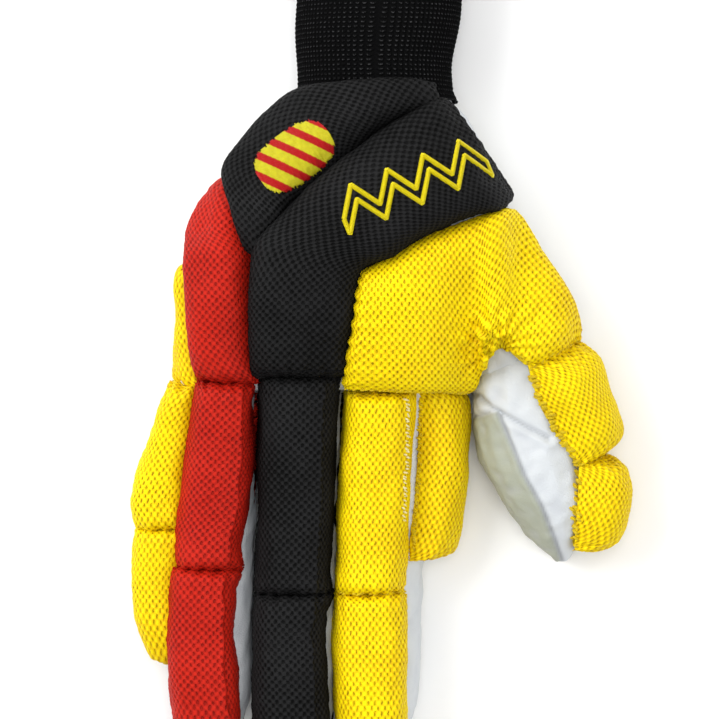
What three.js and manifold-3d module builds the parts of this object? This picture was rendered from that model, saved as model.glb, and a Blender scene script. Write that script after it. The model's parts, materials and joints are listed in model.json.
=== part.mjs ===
// Roller hockey glove for the right hand, lying palm down with the back of the hand up.
// Millimetres. +Z is out of the back of the hand, +Y runs to the wrist, +X to the thumb.
import * as THREE from 'three';
import { mergeVertices } from 'three/addons/utils/BufferGeometryUtils.js';
import Module from 'manifold-3d';

const wasm = await Module();
wasm.setup();

// Driving sizes
const GAP = 0.3; // clearance between sewn pieces
const LEATHER = 1.6; // wall of the leather glove
const KNIT = 2.6; // wall of the knitted cuff
const CUFF_END = 136; // free end of the cuff
const WRIST_SEAM = 73.8; // where the cuff meets the leather
const KNUCKLE_SEAM = -17; // where the fingers leave the hand
const THUMB_SEAM = { x: 21.9, y: -17.4, slope: 0.47 }; // slanted seam across the root of the thumb
const REACH = 200; // larger than the glove, for the blocks that divide it
const OVERRUN = 5; // how far a bore runs past the end that it opens
const WELD = 1e-4; // points nearer than this are one

// Form of the cross-sections
const BELT = 0.42; // height of the widest line, as a share of the whole height
const BACK_ROUND = 0.76; // power of the arch over the back, 1 is an ellipse
const PALM_ROUND = 0.62; // power of the lower half, which is squarer
const PALM_FLAT = 1.1; // how far the lower half is pressed flat on the floor
const PAD_SQUARE = 0.72; // power of a pad's width curve
const PAD_CROWN = 0.62; // power of a pad's height curve
const PAD_END = 5; // length over which a pad's end rounds off
const PAD_END_LOW = 0.42; // height left at the very end of a pad
const PAD_END_INSET = 1.2; // how far the corners of a pad's end draw in
const PAD_END_SHARE = 0.3; // the most that each end takes of a short pad's length
const PAD_END_MID = 0.35; // place of the section within a pad's end
const PAD_ARCH_POINTS = 9;
const PAD_STEP = 12; // distance between a pad's sections
const PAD_LIFT = 0.8; // edge of a back pad above the leather
const PATCH_THICK = 1.1;
const PATCH_LIFT = 0.45; // underside of the embroidery above the pad
const PATCH_POINTS = 20;

function table(names, rows) {
  const keys = names.split(' ');
  return rows.map((row) => Object.fromEntries(keys.map((key, i) => [key, row[i]])));
}

// Leather forms: one row for each section across the glove, at y
const HAND = table('y left right top floor', [
  [73.8, -26.6, 21.4, 36, 0],
  [70, -27.6, 21.9, 37, 0],
  [65, -34.8, 25.8, 39, 0],
  [58, -40.2, 30, 41, 0],
  [48, -45.6, 34.8, 42, 0],
  [37, -51, 38.4, 42, 0],
  [25, -56.2, 40.8, 41, 0],
  [10, -57.6, 38.4, 38, 0],
  [-3, -58.2, 32.4, 33, 0],
  [-15.6, -58.6, 26.4, 28, 0],
]);

const INDEX = table('y left right top floor', [
  [-6, -9.5, 21, 27, 0],
  [-20, -11.5, 16.5, 25, 0],
  [-35, -12.2, 14.4, 23, 0],
  [-56, -13, 13.2, 21.5, 0],
  [-77, -13.5, 12, 20.5, 0],
  [-98, -13.8, 11.4, 19.5, 0],
  [-114, -13.2, 10.2, 18.5, 0],
  [-123, -9.8, 6.8, 15.5, 1],
  [-127, -5, 2, 11, 4],
]);

const MIDDLE = table('y left right top floor', [
  [-6, -37.6, -11, 28, 0],
  [-20, -38, -12.2, 26, 0],
  [-35, -37.9, -12.9, 24, 0],
  [-56, -38.2, -13.9, 22, 0],
  [-77, -38.9, -14.3, 21, 0],
  [-98, -39.2, -14.5, 20, 0],
  [-118, -38.4, -15, 19, 0],
  [-128, -34.8, -18.6, 16, 1],
  [-132, -30.5, -23, 11, 4],
]);

const RING = table('y left right top floor', [
  [-6, -54.5, -39, 27, 0],
  [-20, -55.2, -38.8, 25, 0],
  [-35, -56.1, -38.6, 23, 0],
  [-56, -57.6, -39, 21, 0],
  [-77, -58.8, -39.8, 20, 0],
  [-98, -59.4, -40, 19, 0],
  [-112, -58.8, -40.6, 18, 0],
  [-120, -55.6, -43.4, 15, 1],
  [-124, -52, -47, 11, 4],
]);

const LITTLE = table('y left right top floor', [
  [-6, -59.4, -55, 23, 0],
  [-20, -63.8, -56, 20.5, 0],
  [-35, -69.5, -56.9, 18.5, 0],
  [-56, -73, -58.4, 16.5, 0],
  [-77, -73.4, -59.6, 15.5, 0],
  [-88, -72.2, -60.3, 14.5, 0],
  [-94, -69.6, -61.8, 12, 1],
  [-97, -67, -64, 9, 3.5],
]);

const THUMB = table('y left right top floor', [
  [34, 25, 38, 28, 0],
  [22, 22, 46, 32, 0],
  [10, 22, 52, 34, 0],
  [0, 24, 55.8, 33, 0],
  [-11, 26.6, 57, 31, 0],
  [-20, 27.2, 58.2, 30, 0],
  [-29, 27.6, 59.7, 29, 0],
  [-38, 28.8, 61, 28, 0],
  [-44, 32.4, 61.5, 27, 0],
  [-50, 35.4, 61.5, 26, 0],
  [-56, 39.6, 61, 24, 0],
  [-62, 44.4, 59.7, 20.5, 0],
  [-67, 49.5, 58, 15, 2],
  [-69.3, 52.5, 56, 10.5, 5],
]);

const CUFF = table('y left right top floor', [
  [WRIST_SEAM + GAP, -26.7, 21.6, 35.6, 0],
  [84, -26.9, 21.4, 34.6, 0],
  [100, -26.8, 24, 34, 0],
  [118, -27, 25.4, 33.4, 0],
  [CUFF_END, -27.4, 26, 32.8, 0],
]);

// Back pads: one row for each section from edge a to edge b, which lie on the leather
const UPPER_BACK_PAD = table('ax ay bx by high', [
  [-40.8, 25.2, -36.6, 23.2, 5],
  [-43.2, 36.2, -30, 33.8, 9],
  [-45.4, 47.2, -23.2, 40.8, 12],
  [-39.6, 56.4, -16.8, 46.8, 13],
  [-27.4, 68.8, -9.6, 53.2, 13],
  [-12.3, 73.6, -2.2, 59.8, 11],
  [0.6, 75.4, 6, 64.8, 9],
  [14.4, 74.4, 15.6, 68.4, 6],
]);

const CROSS_PAD = table('ax ay bx by high', [
  [-39, -12, -11.2, -12, 11.5],
  [-39.4, -5.4, -10.8, -5.4, 13],
  [-39.8, 4.2, -9, 4.2, 14],
  [-39.2, 14.7, -7.4, 15, 14],
  [-38, 25.4, -4.8, 20, 14],
  [-30.8, 34.4, 2.6, 23.2, 14],
  [-20.4, 44.6, 11.6, 28.9, 14],
  [-9.3, 54.2, 20.1, 33.1, 14],
  [2.6, 62.8, 28.2, 36, 13],
  [11.8, 68.6, 33.6, 37.4, 12],
  [17.6, 69.8, 36.4, 39.4, 10],
  [20.8, 66, 36.8, 43.2, 7],
]);

const RING_BACK_PAD = table('ax ay bx by high', [
  [-46.8, 46.2, -44.8, 45.6, 4],
  [-50.8, 40.6, -43, 39.8, 7],
  [-53.8, 32.4, -41.4, 31.6, 10],
  [-55, 25.2, -39.8, 24.9, 12],
  [-55.6, 19.2, -39.2, 19.6, 12.5],
  [-55.6, 10.2, -39.4, 10.2, 12.5],
  [-55.6, -0.3, -39.4, -0.3, 12.5],
  [-55.6, -7.2, -38.8, -7.2, 12.5],
  [-55, -13.8, -37.6, -13.8, 11],
]);

const INDEX_BACK_PAD = table('ax ay bx by high', [
  [-6.6, 19.4, -11.4, -14.6, 12],
  [2.2, 23.6, 3.6, -15.4, 14],
  [13.8, 29.4, 15.4, -16, 14],
  [25.6, 34.2, 26.2, -15.2, 13],
  [31.8, 36.2, 30.4, -9.6, 12.5],
  [36.6, 36.6, 34, -3.6, 12],
  [41, 34.4, 38.4, -6, 11.5],
  [45.6, 28, 42.2, -9, 11.2],
  [49.8, 20.8, 46.2, -8.6, 10.8],
  [53.4, 13.8, 50.6, -7.2, 10.4],
  [56.6, 7.4, 54.8, -5.2, 9.6],
  [59.8, 1, 58.8, -2.8, 8],
]);

// Side pads: edges a and b each at their own height
const LITTLE_BACK_PAD = table('ax ay az bx by bz high', [
  [-57, 20, 9, -57.4, 20, 21, 4.6],
  [-58.4, 14, 6, -58.4, 14, 22.5, 5.4],
  [-58.8, 2, 5, -57.8, 2, 21.5, 5.6],
  [-59.6, -8, 5, -56.2, -8, 22, 5.8],
  [-60.6, -14.9, 5, -55.6, -14.9, 22, 5.8],
]);

const INDEX_SIDE_PAD = table('ax ay az bx by bz high', [
  [10.2, -17.4, 22.4, 18.4, -17.4, 4.5, 10.6],
  [10.4, -27, 21.8, 18.4, -27, 4, 11.8],
  [10.2, -38, 20.8, 17.6, -38, 4, 12.2],
  [9.4, -47, 20, 16.8, -47, 4, 12],
  [8.4, -57, 19.4, 15.8, -57, 4, 11.6],
  [7.4, -67.6, 18.8, 14.6, -66, 5, 9.8],
]);

const THUMB_PAD_1 = table('ax ay az bx by bz high', [
  [43.2, -9.8, 32.4, 56.8, -2.2, 13, 9.5],
  [44.6, -14.8, 31.6, 58.4, -7.4, 9, 12.5],
  [47, -21.8, 30.4, 60.2, -15.8, 7, 14.4],
  [51.2, -29, 28.4, 61.6, -24.2, 6, 15],
  [55.2, -34.8, 26.6, 62.6, -31.4, 5.5, 14],
  [58, -39, 25.4, 63.4, -36, 5.5, 11.6],
]);

const THUMB_PAD_2 = table('ax ay az bx by bz high', [
  [58.8, -40, 25, 65, -37, 5.5, 11.2],
  [58.8, -46, 24.4, 64.2, -44.4, 4, 14],
  [58.5, -52, 23.4, 63.6, -52, 4, 14],
  [58.2, -58, 21.4, 62.8, -58, 4, 13.2],
  [58, -64.6, 18, 61.6, -64.2, 6, 9.6],
]);

// Finger pads: one row for each section across the finger, at y
const FINGER_PADS = {
  index_pad_1: { sleeve: INDEX, rows: table('y left right', [
    [-16.8, -11.4, 9.2], [-24, -12, 9.3], [-34.8, -12.8, 8.7], [-55.8, -13.7, 7.2],
    [-70, -14.2, 6.3], [-78, -14.2, 5.9],
  ]) },
  index_pad_2: { sleeve: INDEX, rows: table('y left right', [
    [-78.6, -14.4, 6.2], [-87, -15, 6.6], [-95.4, -15.2, 6.9], [-108, -14.7, 7.2],
    [-116, -14.3, 6.8], [-122, -13.4, 5.6], [-126, -11.4, 3.6], [-128.6, -8.2, 0.2],
  ]) },
  middle_pad_1: { sleeve: MIDDLE, rows: table('y left right', [
    [-11, -38, -11.6], [-20, -37.8, -12.4], [-40, -37.8, -13.6], [-54, -37.8, -14.3],
    [-67, -38.3, -15], [-78, -38.4, -15.4],
  ]) },
  middle_pad_2: { sleeve: MIDDLE, rows: table('y left right', [
    [-78.6, -38.8, -15.6], [-86, -39.5, -16.2], [-95, -39.6, -16.4], [-105, -39.5, -15.7],
    [-119, -39.4, -15.4], [-126, -38.4, -16.4], [-130.4, -36.2, -18.4], [-133.4, -32.8, -22],
  ]) },
  ring_pad_1: { sleeve: RING, rows: table('y left right', [
    [-13.5, -56.2, -38.8], [-20, -57.9, -38.6], [-30, -59.3, -38.4], [-42, -60.9, -38.6],
    [-54, -62.5, -40], [-62, -62.8, -42], [-70.4, -62.6, -42.8],
  ]) },
  ring_pad_2: { sleeve: RING, rows: table('y left right', [
    [-71, -64.2, -43.2], [-80, -65.3, -43.7], [-92, -65.4, -44], [-104, -65.3, -43.2],
    [-113, -64.6, -42.4], [-119, -63.4, -43.2], [-123, -61, -45.2], [-125.8, -57.4, -48.8],
  ]) },
  little_pad_1: { sleeve: LITTLE, rows: table('y left right', [
    [-15.2, -64.6, -55.4], [-24, -68.9, -57.2], [-34, -72.2, -58.4], [-44, -75, -59.6],
    [-52, -76.3, -60.4], [-58.9, -75.2, -60.6],
  ]) },
  little_pad_2: { sleeve: LITTLE, rows: table('y left right', [
    [-59.5, -75.2, -60.8], [-68, -76.2, -61.2], [-78, -76.2, -61.6], [-86, -75.2, -62],
    [-92, -72.9, -62.4], [-95.8, -70.6, -63.4], [-98.2, -67.8, -65],
  ]) },
};
const FINGER_PAD_HEM = 0.6; // height of a finger pad's edges, as a share of the finger's height
const FINGER_PAD_THICK = 10.5; // padding above the leather on ring, middle and index
const LITTLE_PAD_THICK = 6;

// Embroidery: plan outlines, raised on the pads below them
const PATCH = { x: -26.6, y: 52.4, long: 12.4, wide: 8.2, turn: 0.62, square: 0.7 };
const MOTIF = { x: -11, y: 31.4, step: 11.5, peaks: 4, rise: 8.5, line: 3, turn: 0.4 };

const LEATHER_SIDES = 14;
const HAND_SIDES = 20;

// Directions that the pads bulge to
const UP = new THREE.Vector3(0, 0, 1);
const THUMBWARD = new THREE.Vector3(1, 0, 0.3);
const OUTWARD = new THREE.Vector3(-1, 0, 0.3);

// Values of a table between its rows, on a smooth curve through them
function between(rows, position) {
  const last = rows.length - 1;
  const place = THREE.MathUtils.clamp(position, 0, last);
  const i = Math.min(Math.floor(place), last - 1);
  const t = place - i;
  const near = [i - 1, i, i + 1, i + 2].map((k) => rows[THREE.MathUtils.clamp(k, 0, last)]);
  const value = {};
  for (const key of Object.keys(rows[0])) {
    const [a, b, c, d] = near.map((row) => row[key]);
    const bend = (2 * a - 5 * b + 4 * c - d) * t * t + (3 * b - a - 3 * c + d) * t * t * t;
    value[key] = 0.5 * (2 * b + (c - a) * t + bend);
  }
  return value;
}

function positionOf(rows, y) {
  const last = rows.length - 1;
  for (let i = 0; i < last; i += 1) {
    if (y <= rows[i].y && y >= rows[i + 1].y) return i + (rows[i].y - y) / (rows[i].y - rows[i + 1].y);
  }
  return y > rows[0].y ? 0 : last;
}

function power(value, exponent) {
  return Math.sign(value) * Math.abs(value) ** exponent;
}

// A section of the leather: arched over the back, pressed flat where it lies
function oval(row, sides, grow) {
  const middle = (row.left + row.right) / 2;
  const half = (row.right - row.left) / 2 + grow;
  const low = row.floor - grow;
  const high = row.top + grow;
  const belt = low + (high - low) * BELT;
  return Array.from({ length: sides }, (_, i) => {
    const angle = (2 * Math.PI * i) / sides;
    const sine = Math.sin(angle);
    const arch = belt + (high - belt) * power(sine, BACK_ROUND);
    const palm = Math.max(low, belt + (belt - low) * PALM_FLAT * power(sine, PALM_ROUND));
    const x = middle + half * power(Math.cos(angle), sine > 0 ? BACK_ROUND : PALM_ROUND);
    return new THREE.Vector3(x, row.y, sine > 0 ? arch : palm);
  });
}

// Height of a leather form's back above a point of the plan
function backHeight(rows, x, y) {
  const row = between(rows, positionOf(rows, y));
  const half = (row.right - row.left) / 2;
  const off = Math.min(Math.abs(x - (row.left + row.right) / 2) / half, 1);
  const belt = row.floor + (row.top - row.floor) * BELT;
  const sine = Math.sqrt(1 - off ** (2 / BACK_ROUND));
  return belt + (row.top - belt) * sine ** BACK_ROUND;
}

function toSolid(geometry) {
  const bare = geometry.clone();
  bare.deleteAttribute('normal');
  bare.deleteAttribute('uv');
  const merged = mergeVertices(bare, WELD);
  const vertProperties = new Float32Array(merged.attributes.position.array);
  const triVerts = new Uint32Array(merged.index.array);
  return new wasm.Manifold(new wasm.Mesh({ numProp: 3, vertProperties, triVerts }));
}

function toGeometry(solid) {
  const mesh = solid.getMesh();
  const geometry = new THREE.BufferGeometry();
  geometry.setAttribute('position', new THREE.BufferAttribute(mesh.vertProperties, 3));
  geometry.setIndex(new THREE.BufferAttribute(mesh.triVerts, 1));
  geometry.computeVertexNormals();
  return geometry;
}

function facesInward(points, index) {
  let volume = 0;
  for (let i = 0; i < index.length; i += 3) {
    const [a, b, c] = [points[index[i]], points[index[i + 1]], points[index[i + 2]]];
    volume += a.dot(new THREE.Vector3().crossVectors(b, c));
  }
  return volume < 0;
}

// Closed solid through a row of sections that have the same number of points
function loft(sections) {
  const sides = sections[0].length;
  const points = sections.flat();
  const index = [];
  for (let row = 0; row + 1 < sections.length; row += 1) {
    for (let i = 0; i < sides; i += 1) {
      const a = row * sides + i;
      const b = row * sides + ((i + 1) % sides);
      index.push(a, b, a + sides, b, b + sides, a + sides);
    }
  }
  for (const row of [0, sections.length - 1]) {
    const centre = new THREE.Vector3();
    sections[row].forEach((point) => centre.addScaledVector(point, 1 / sides));
    points.push(centre);
    for (let i = 0; i < sides; i += 1) {
      const edge = [row * sides + i, row * sides + ((i + 1) % sides)];
      if (row === 0) edge.reverse();
      index.push(points.length - 1, ...edge);
    }
  }
  if (facesInward(points, index)) index.reverse();
  const geometry = new THREE.BufferGeometry().setFromPoints(points);
  geometry.setIndex(index);
  return toSolid(geometry);
}

// Leather form grown or shrunk all round; a shrunk one stops short of the closed tip
function form(rows, sides, grow, tipGrow = grow) {
  const root = rows[0].y;
  const reach = root - rows[rows.length - 1].y;
  const stretch = (reach + tipGrow) / reach;
  return loft(rows.map((row) => oval({ ...row, y: root + (row.y - root) * stretch }, sides, grow)));
}

function prism(corners, low, high) {
  const outline = new THREE.Shape(corners.map(([x, y]) => new THREE.Vector2(x, y)));
  const geometry = new THREE.ExtrudeGeometry(outline, { depth: high - low, bevelEnabled: false });
  return toSolid(geometry.translate(0, 0, low));
}

function join(solids) {
  return solids.reduce((whole, solid) => whole.add(solid));
}

// Pad between two edges: an arch over the chord from a to b, rounded off at both ends.
// facing is a direction on the side that the arch bulges to, and grow thickens the pad all round.
// An upright arch rises square to its chord, and any other rises square to the spine too.
function pad(rows, facing, grow = 0, upright = false) {
  const middles = rows.map((r) => new THREE.Vector3(r.ax + r.bx, r.ay + r.by, r.az + r.bz).divideScalar(2));
  const spine = new THREE.CatmullRomCurve3(middles, false, 'catmullrom');
  const length = spine.getLength();
  const round = Math.min(PAD_END / length, PAD_END_SHARE);
  const steps = Math.max(3, Math.round(length / PAD_STEP));
  const places = [0, round * PAD_END_MID];
  for (let i = 0; i <= steps; i += 1) places.push(round + ((1 - 2 * round) * i) / steps);
  places.push(1 - round * PAD_END_MID, 1);
  const sections = places.map((place) => {
    const row = between(rows, place * (rows.length - 1));
    const inside = Math.min(place, 1 - place, round) / round;
    const rise = PAD_END_LOW + (1 - PAD_END_LOW) * Math.sqrt(1 - (1 - inside) ** 2);
    const inset = PAD_END_INSET * (1 - inside) ** 2 - grow;
    const a = new THREE.Vector3(row.ax, row.ay, row.az);
    const across = new THREE.Vector3(row.bx, row.by, row.bz).sub(a);
    const width = across.length();
    across.normalize();
    const tangent = spine.getTangent(place);
    const end = Number(place === 1) - Number(place === 0);
    a.addScaledVector(tangent, end * grow);
    const out = tangent.cross(across);
    if (upright) out.copy(facing).addScaledVector(across, -facing.dot(across));
    out.normalize();
    if (out.dot(facing) < 0) out.negate();
    return Array.from({ length: PAD_ARCH_POINTS }, (_, i) => {
      const angle = (Math.PI * i) / (PAD_ARCH_POINTS - 1);
      const u = 0.5 - 0.5 * power(Math.cos(angle), PAD_SQUARE);
      const up = (row.high * rise + 2 * grow) * power(Math.max(Math.sin(angle), 0), PAD_CROWN) - grow;
      return a.clone().addScaledVector(across, inset + u * (width - 2 * inset)).addScaledVector(out, up);
    });
  });
  return loft(sections);
}

// Pad on the back of the hand, with its edges just above the leather
function backPad(rows, grow = 0) {
  const edge = (x, y) => Math.max(backHeight(HAND, x, y), backHeight(THUMB, x, y)) + PAD_LIFT;
  const placed = rows.map((r) => ({ ...r, az: edge(r.ax, r.ay), bz: edge(r.bx, r.by) }));
  return pad(placed, UP, grow, true);
}

// A finger pad's arch stands over a chord at its hem, inside the leather finger
function onFinger(rows, sleeve, thick) {
  return rows.map(({ y, left, right }) => {
    const { top } = between(sleeve, positionOf(sleeve, y));
    const hem = top * FINGER_PAD_HEM;
    return { ax: left, ay: y, az: hem, bx: right, by: y, bz: hem, high: top - hem + thick };
  });
}

// The leather glove, outside and inside, and the same a little larger to clear the pads from it
const FINGERS = [INDEX, MIDDLE, RING, LITTLE];
const outside = join([form(HAND, HAND_SIDES, 0), form(THUMB, LEATHER_SIDES, 0),
  ...FINGERS.map((rows) => form(rows, LEATHER_SIDES, 0))]);
const inside = join([form([{ ...HAND[0], y: WRIST_SEAM + OVERRUN }, ...HAND], HAND_SIDES, -LEATHER),
  ...[THUMB.slice(1), ...FINGERS].map((rows) => form(rows, LEATHER_SIDES, -LEATHER))]);
const leather = outside.subtract(inside);
const cuffOutside = form(CUFF, HAND_SIDES, 0, 0);
const cuffBore = [{ ...CUFF[0], y: WRIST_SEAM - OVERRUN }, ...CUFF.slice(0, -1),
  { ...CUFF.at(-1), y: CUFF_END + OVERRUN }];
const cuffInside = form(cuffBore, HAND_SIDES, -KNIT, 0);
const cleared = join([form(HAND, HAND_SIDES, GAP, 0), form(THUMB, LEATHER_SIDES, GAP),
  ...FINGERS.map((rows) => form(rows, LEATHER_SIDES, GAP)), form(CUFF, HAND_SIDES, GAP, 0)]);

// Regions of the plan that divide the leather at its seams
const seamAt = (x) => THUMB_SEAM.y + (x - THUMB_SEAM.x) * THUMB_SEAM.slope;
const tall = [-REACH, REACH];
const handRegion = prism([[-REACH, REACH], [-REACH, KNUCKLE_SEAM], [THUMB_SEAM.x, KNUCKLE_SEAM],
  [THUMB_SEAM.x, THUMB_SEAM.y], [REACH, seamAt(REACH)], [REACH, REACH]], ...tall);
const thumbRegion = prism([[THUMB_SEAM.x, THUMB_SEAM.y - GAP], [THUMB_SEAM.x, -REACH], [REACH, -REACH],
  [REACH, seamAt(REACH) - GAP]], ...tall);
const fingerRegion = prism([[-REACH, KNUCKLE_SEAM - GAP], [-REACH, -REACH], [REACH, -REACH],
  [REACH, KNUCKLE_SEAM - GAP]], ...tall);

const WHITE = { color: 0xe1e6ee, roughness: 0.62 };
const BLACK = { color: 0x1c1c1e, roughness: 0.8 };
const RED = { color: 0xd0372d, roughness: 0.75 };
const YELLOW = { color: 0xf5da12, roughness: 0.72 };
const THREAD = { color: 0xffe619, roughness: 0.5 };
const KNITTED = { color: 0x0f0f11, roughness: 0.95 };

const glove = new THREE.Group();

function piece(name, solid, finish) {
  const material = new THREE.MeshStandardMaterial({ ...finish, metalness: 0 });
  const mesh = new THREE.Mesh(toGeometry(solid), material);
  mesh.name = name;
  glove.add(mesh);
}

// Knitted cuff and leather glove
piece('wrist_cuff', cuffOutside.subtract(cuffInside), KNITTED);
piece('hand_shell', leather.intersect(handRegion), WHITE);
const hollow = (rows) => form(rows, LEATHER_SIDES, 0).subtract(form(rows, LEATHER_SIDES, -LEATHER));
piece('thumb_sleeve', hollow(THUMB).intersect(thumbRegion), WHITE);
piece('index_sleeve', hollow(INDEX).intersect(fingerRegion), WHITE);
piece('middle_sleeve', hollow(MIDDLE).intersect(fingerRegion), WHITE);
piece('ring_sleeve', hollow(RING).intersect(fingerRegion), WHITE);
piece('little_sleeve', hollow(LITTLE).intersect(fingerRegion), WHITE);

// Back pads
const upperBack = backPad(UPPER_BACK_PAD, GAP);
const cross = backPad(CROSS_PAD, GAP);
const ringBack = backPad(RING_BACK_PAD, GAP);
const indexBack = backPad(INDEX_BACK_PAD, GAP);
const fitted = (body, ...neighbours) => body.subtract(join([cleared, ...neighbours]));
piece('upper_back_pad', fitted(backPad(UPPER_BACK_PAD)), BLACK);
piece('cross_pad', fitted(backPad(CROSS_PAD), upperBack), BLACK);
piece('ring_back_pad', fitted(backPad(RING_BACK_PAD), upperBack, cross), RED);
piece('index_back_pad', fitted(backPad(INDEX_BACK_PAD), cross), YELLOW);

// Pads of the fingers
const fingerColours = { index: YELLOW, middle: BLACK, ring: RED, little: YELLOW };
const ringPads = ['ring_pad_1', 'ring_pad_2'].map((name) => {
  const { rows, sleeve } = FINGER_PADS[name];
  return pad(onFinger(rows, sleeve, FINGER_PAD_THICK), UP, GAP);
});
piece('little_back_pad', fitted(pad(LITTLE_BACK_PAD, OUTWARD), ringBack, ...ringPads), YELLOW);
for (const [name, { sleeve, rows }] of Object.entries(FINGER_PADS)) {
  const little = name.startsWith('little');
  const body = pad(onFinger(rows, sleeve, little ? LITTLE_PAD_THICK : FINGER_PAD_THICK), UP);
  const neighbours = little ? [...ringPads, ringBack] : [ringBack, cross, indexBack];
  piece(name, fitted(body, ...neighbours), fingerColours[name.split('_')[0]]);
}

// Pads on the thumb side
const indexPad = pad(onFinger(FINGER_PADS.index_pad_1.rows, INDEX, FINGER_PAD_THICK), UP, GAP);
piece('index_side_pad', fitted(pad(INDEX_SIDE_PAD, THUMBWARD), indexBack, indexPad), YELLOW);
piece('thumb_pad_1', fitted(pad(THUMB_PAD_1, THUMBWARD), indexBack), YELLOW);
piece('thumb_pad_2', fitted(pad(THUMB_PAD_2, THUMBWARD), pad(THUMB_PAD_1, THUMBWARD, GAP)), YELLOW);

// Embroidery: a thin layer that follows the pad below it, cut to its outline
function raised(rows, outline) {
  const below = backPad(rows);
  const layer = below.translate(0, 0, PATCH_LIFT + PATCH_THICK).subtract(below.translate(0, 0, PATCH_LIFT));
  const bodies = layer.intersect(prism(outline, 0, REACH)).decompose();
  return bodies.sort((a, b) => b.volume() - a.volume())[0];
}

function turned(x, y, { turn }, centre) {
  const [cosine, sine] = [Math.cos(turn), Math.sin(turn)];
  return [centre.x + x * cosine - y * sine, centre.y + x * sine + y * cosine];
}

const patchOutline = Array.from({ length: PATCH_POINTS }, (_, i) => {
  const angle = (2 * Math.PI * i) / PATCH_POINTS;
  const x = PATCH.long * power(Math.cos(angle), PATCH.square);
  const y = PATCH.wide * power(Math.sin(angle), PATCH.square);
  return turned(x, y, PATCH, PATCH);
});
piece('embroidered_patch', raised(UPPER_BACK_PAD, patchOutline), THREAD);

// A zigzag band in place of lettering: one edge out, the other edge back
const zigzag = Array.from({ length: MOTIF.peaks * 2 + 1 },
  (_, i) => [i * MOTIF.step * 0.5, (i % 2) * MOTIF.rise]);
const zigzagOutline = [...zigzag.map(([x, y]) => turned(x, y + MOTIF.line, MOTIF, MOTIF)),
  ...zigzag.reverse().map(([x, y]) => turned(x, y - MOTIF.line, MOTIF, MOTIF))];
piece('embroidered_motif', raised(CROSS_PAD, zigzagOutline), THREAD);

// The origin is the middle of the box that holds the glove, on the floor
const box = new THREE.Box3().setFromObject(glove);
const centre = box.getCenter(new THREE.Vector3());
for (const mesh of glove.children) mesh.geometry.translate(-centre.x, -centre.y, -box.min.z);

export default glove;
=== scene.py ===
import json
import math
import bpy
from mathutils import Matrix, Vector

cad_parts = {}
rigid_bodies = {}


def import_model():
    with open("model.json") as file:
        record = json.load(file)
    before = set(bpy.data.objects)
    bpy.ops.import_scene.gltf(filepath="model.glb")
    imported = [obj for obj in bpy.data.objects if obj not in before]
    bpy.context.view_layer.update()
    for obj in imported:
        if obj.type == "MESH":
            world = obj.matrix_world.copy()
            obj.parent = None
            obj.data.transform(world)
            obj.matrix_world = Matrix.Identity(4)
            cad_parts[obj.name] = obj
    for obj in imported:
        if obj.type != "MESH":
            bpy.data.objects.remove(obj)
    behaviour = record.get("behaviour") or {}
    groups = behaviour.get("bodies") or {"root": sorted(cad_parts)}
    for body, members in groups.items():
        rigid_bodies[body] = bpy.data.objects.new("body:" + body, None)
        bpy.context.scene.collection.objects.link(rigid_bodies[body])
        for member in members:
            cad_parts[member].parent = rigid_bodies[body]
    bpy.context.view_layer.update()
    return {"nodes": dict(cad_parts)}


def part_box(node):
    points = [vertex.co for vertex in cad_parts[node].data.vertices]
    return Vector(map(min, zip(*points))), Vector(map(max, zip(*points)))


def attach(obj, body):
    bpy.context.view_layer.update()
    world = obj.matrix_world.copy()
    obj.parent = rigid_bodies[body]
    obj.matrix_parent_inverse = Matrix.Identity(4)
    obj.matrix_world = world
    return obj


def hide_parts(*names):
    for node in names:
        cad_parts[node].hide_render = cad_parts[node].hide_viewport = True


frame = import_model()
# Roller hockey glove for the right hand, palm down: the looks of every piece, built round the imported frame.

from types import SimpleNamespace

import bmesh
import bpy
import numpy as np
from mathutils import Vector
from mathutils.bvhtree import BVHTree

MM = 0.001  # tables are in millimetres, Blender in metres
RANDOM = np.random.default_rng(7)

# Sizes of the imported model's own drawing
CUFF_LEFT = -27.4  # leftmost point of the cuff's free end
CUFF_END = 136.0  # y of the cuff's free end and of its seam
WRIST_SEAM = 73.8
GAP = 0.3  # between neighbouring solids
BELT = 0.42  # share of a leather form's height where it is widest
BACK_ROUND = 0.76  # power of the leather's rounded back section
PAD_SQUARE = 0.72  # powers of a pad's rounded section, in width and in height
PAD_CROWN = 0.62
PAD_LIFT = 0.8  # a back pad's edges above the leather
FINGER_PAD_HEM = 0.6  # share of a leather finger's height where its pads' edges lie
FINGER_PAD_THICK = 10.5
LITTLE_PAD_THICK = 6.0
cuff_low, cuff_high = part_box("wrist_cuff")
SHIFT = np.array([cuff_low.x / MM - CUFF_LEFT, cuff_high.y / MM - CUFF_END, 0.0])

# columns: y left right top floor
HAND = np.array([
    [73.8, -26.6, 21.4, 36, 0],
    [70, -27.6, 21.9, 37, 0],
    [65, -34.8, 25.8, 39, 0],
    [58, -40.2, 30, 41, 0],
    [48, -45.6, 34.8, 42, 0],
    [37, -51, 38.4, 42, 0],
    [25, -56.2, 40.8, 41, 0],
    [10, -57.6, 38.4, 38, 0],
    [-3, -58.2, 32.4, 33, 0],
    [-15.6, -58.6, 26.4, 28, 0],
])

# columns: y left right top floor
INDEX = np.array([
    [-6, -9.5, 21, 27, 0],
    [-20, -11.5, 16.5, 25, 0],
    [-35, -12.2, 14.4, 23, 0],
    [-56, -13, 13.2, 21.5, 0],
    [-77, -13.5, 12, 20.5, 0],
    [-98, -13.8, 11.4, 19.5, 0],
    [-114, -13.2, 10.2, 18.5, 0],
    [-123, -9.8, 6.8, 15.5, 1],
    [-127, -5, 2, 11, 4],
])

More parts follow.
